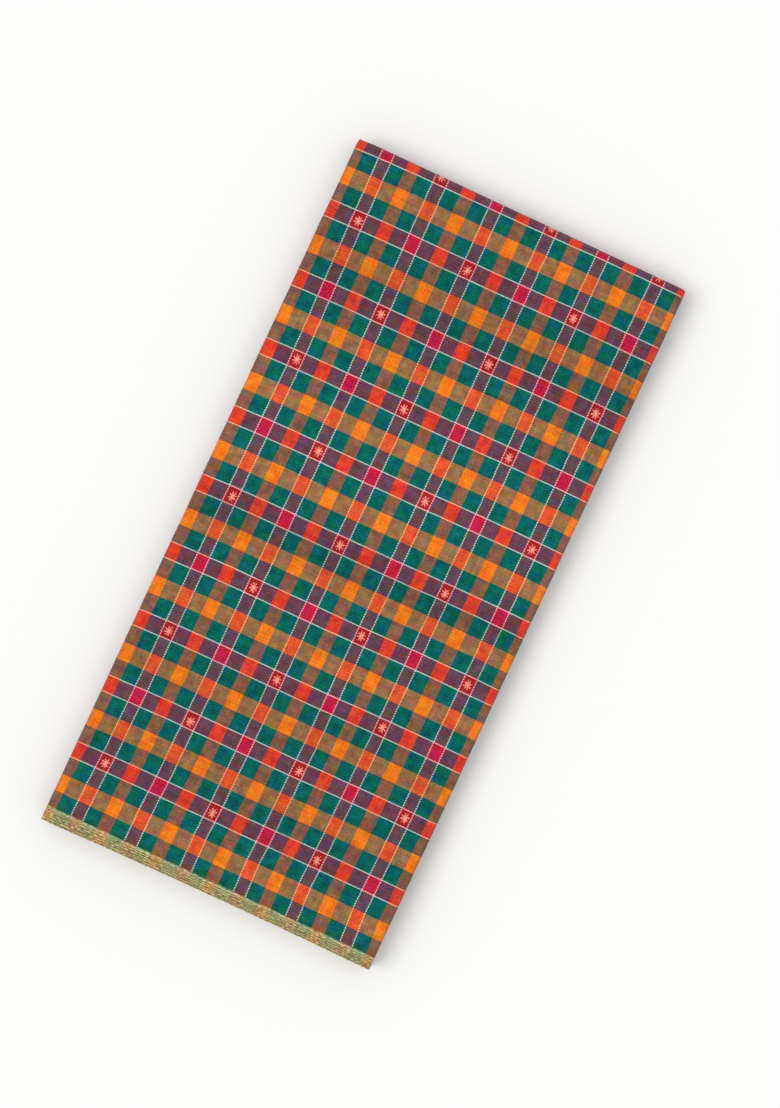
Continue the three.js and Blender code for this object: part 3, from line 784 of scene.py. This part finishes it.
def lay_out(mesh, corners, along, across, inner):
    """A map to bake on: the cloth spread out in rows that fill a square.

    The leaf that is turned inwards takes this share of each row's width, the other leaf the rest.
    """
    down = np.abs(across)
    near, far = down.min(), down.max()
    place = np.interp(across, (-far, -near, near, far), (0, inner, inner, 1))
    length, width = np.ptp(along), 2 * (far - near)
    rows = max(round(math.sqrt(length / width)), 1)
    counts = np.empty(len(mesh.polygons), dtype=int)
    mesh.polygons.foreach_get("loop_total", counts)
    reach = (along[corners] - along.min()) / length * rows
    middles = np.add.reduceat(reach, np.cumsum(counts) - counts) / counts
    row = np.repeat(np.minimum(middles.astype(int), rows - 1), counts)
    u = (reach - row - np.min(reach - row)) / np.ptp(reach - row)
    v = (row + ROW_GAP + (1 - 2 * ROW_GAP) * place[corners]) / rows
    layer = mesh.uv_layers.new(name=BAKE_MAP)
    layer.uv.foreach_set("vector", np.stack([u, v], axis=1).ravel())


def swept_cloth(name, lines, section, inner=INNER_LEAF):
    """A piece of the folded cloth: its section swept along these lines, thickened and settled."""
    line = line_object(name + "_line", lines)
    profile = line_object(name + "_section", section)
    sweep = line.modifiers.new("sweep", "NODES")
    sweep.node_group = SWEEP
    values = {"Section": profile, "Half Width": HALF_WIDTH, "Waver": WAVER, "Waver Length": WAVER_LENGTH,
              "Border Line": BORDER_LINE, **CLOTHS}
    for socket in SWEEP.interface.items_tree:
        if socket.in_out == "INPUT" and socket.name in values:
            sweep[socket.identifier] = values[socket.name]
    wall = line.modifiers.new("wall", "SOLIDIFY")
    wall.thickness = CLOTH
    wall.offset = 0.0
    mesh = bpy.data.meshes.new_from_object(line.evaluated_get(bpy.context.evaluated_depsgraph_get()))
    for helper in (line, profile):
        bpy.data.objects.remove(helper)

    count = len(mesh.vertices)
    places = np.empty(count * 3)
    mesh.vertices.foreach_get("co", places)
    places = places.reshape(-1, 3)
    read = {}
    for key in ("along", "across"):
        read[key] = np.empty(count)
        mesh.attributes[key].data.foreach_get("value", read[key])
    woven = weave_places(places, read["along"], read["across"])
    mesh.vertices.foreach_set("co", settle(places).ravel())
    corners = np.empty(len(mesh.loops), dtype=int)
    mesh.loops.foreach_get("vertex_index", corners)
    layer = mesh.uv_layers.new(name=WEAVE_MAP)
    layer.uv.foreach_set("vector", woven[corners].ravel())
    lay_out(mesh, corners, read["along"], read["across"], inner)
    for key in [a.name for a in mesh.attributes if a.name in (*path[0], "across")]:
        mesh.attributes.remove(mesh.attributes[key])
    mesh.set_sharp_from_angle(angle=SHARP)
    mesh.update()
    mesh.name = name
    piece = bpy.data.objects.new(name, mesh)
    bpy.context.scene.collection.objects.link(piece)
    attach(piece, "root")
    return piece


top_lines = [stretches[1]]
top_cloth = swept_cloth("top_cloth", top_lines, field_section)
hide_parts("top_stretch")
top_band = swept_cloth("top_band", top_lines, band_section)
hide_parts("top_border")


# ---- The folds between ----
# Between the top and the bottom panel lie eighteen more of the same cloth, in three runs. They show
# only at the edges: rolled folds at both sides and at the centre fold, loose ends at the selvedges.
hidden_lines = stretches[0::2]
hidden_cloth = swept_cloth("hidden_cloth", hidden_lines, hidden_section, inner=0.5)
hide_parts("hidden_folds")


# ---- The stretch of cloth on the underside, and its border ----
# The bottom panel is folded as the top one is, upside down, and lies flat on the table.
under_lines = [stretches[3]]
under_cloth = swept_cloth("under_cloth", under_lines, field_section)
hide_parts("under_stretch")
under_band = swept_cloth("under_band", under_lines, band_section)
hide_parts("under_border")


# ---- Table and light ----
# A pale seamless table top under a wide soft light from the upper left and a bright room.
TABLE_SIZE = 3.0                    # metres
TABLE_COLOUR = "#FBFBFA"
ROOM_LIGHT = 0.77                   # share of the light that comes from the room all round
KEY_LIGHT = 0.25                    # share that comes from the soft light
KEY_SIZE = math.radians(40)
KEY_TILT = math.radians(42)         # from straight above
KEY_SIDE = math.radians(205)        # the side it leans to, from +X

mesh = bpy.data.meshes.new("table_top")
half = TABLE_SIZE / 2
mesh.from_pydata([(-half, -half, 0), (half, -half, 0), (half, half, 0), (-half, half, 0)], [], [(0, 1, 2, 3)])
table_top = bpy.data.objects.new("table_top", mesh)
bpy.context.scene.collection.objects.link(table_top)
table_paint, tree = new_material("matt_white_table")
surface = add(tree, "ShaderNodeBsdfPrincipled", {"Base Color": linear(TABLE_COLOUR), "Roughness": 0.9,
                                                 "Specular IOR Level": 0.0})
tree.links.new(surface, tree.nodes.new("ShaderNodeOutputMaterial").inputs["Surface"])
mesh.materials.append(table_paint)

world = bpy.data.worlds.new("room")
world.use_nodes = True
world.node_tree.nodes["Background"].inputs["Color"].default_value = (1.0, 1.0, 1.0, 1.0)
world.node_tree.nodes["Background"].inputs["Strength"].default_value = ROOM_LIGHT
bpy.context.scene.world = world

key_data = bpy.data.lights.new("soft_key", "SUN")
key_data.energy = KEY_LIGHT * math.pi / math.cos(KEY_TILT)
key_data.angle = KEY_SIZE
key = bpy.data.objects.new("soft_key", key_data)
key.rotation_euler = (0.0, KEY_TILT, KEY_SIDE)
bpy.context.scene.collection.objects.link(key)
bpy.context.scene.view_settings.view_transform = "Standard"
